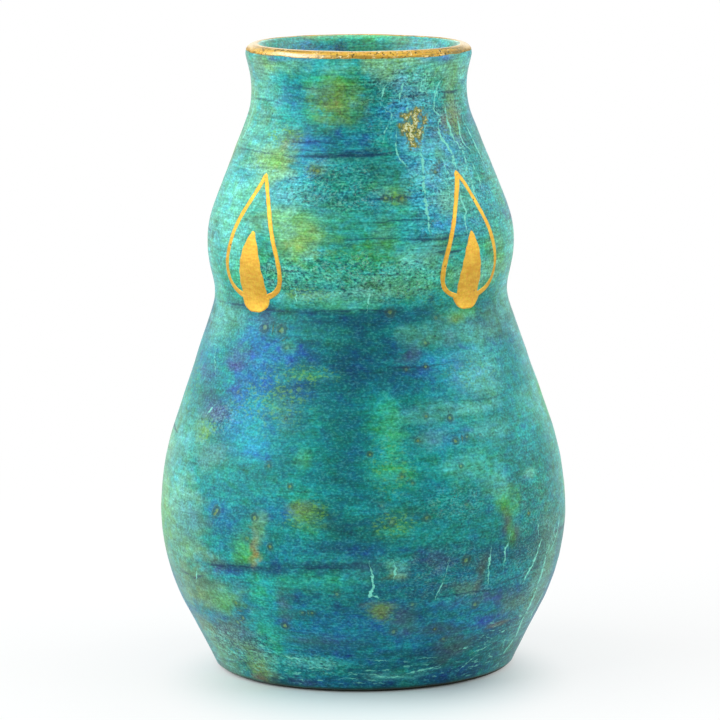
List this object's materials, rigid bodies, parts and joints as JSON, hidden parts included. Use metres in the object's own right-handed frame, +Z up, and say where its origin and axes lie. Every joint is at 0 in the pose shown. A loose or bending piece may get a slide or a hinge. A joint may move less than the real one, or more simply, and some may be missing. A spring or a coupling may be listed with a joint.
{
  "type": "vase",
  "caption": "Double-gourd thrown ceramic vase with a short flared neck, mottled glaze, gilt lip and pendant gilt drops, open at the top for stems and water.",
  "frame": {"origin": "on the ground at the middle of the foot ring", "axes": "+Z up along the throwing axis; -Y is the front, midway between two of the drops; +X to the viewer's right"},
  "size_m": [0.1294, 0.1294, 0.2001],
  "materials": {
    "fired_clay": "matt, unglazed",
    "glaze": "satin lustre glaze, mottled turquoise, teal and blue",
    "lining_glaze": "satin glaze, mottled turquoise",
    "gilding": "fired bright gold, slightly rubbed"
  },
  "bodies": {
    "root": {"clay_body": "fired_clay", "outer_glaze": "glaze", "inner_glaze": "lining_glaze", "rim_gilding": "gilding", "drop_outline_1": "gilding", "drop_outline_2": "gilding", "drop_outline_3": "gilding", "drop_outline_4": "gilding", "drop_leaf_1": "gilding", "drop_leaf_2": "gilding", "drop_leaf_3": "gilding", "drop_leaf_4": "gilding"}
  },
  "joints": []
}
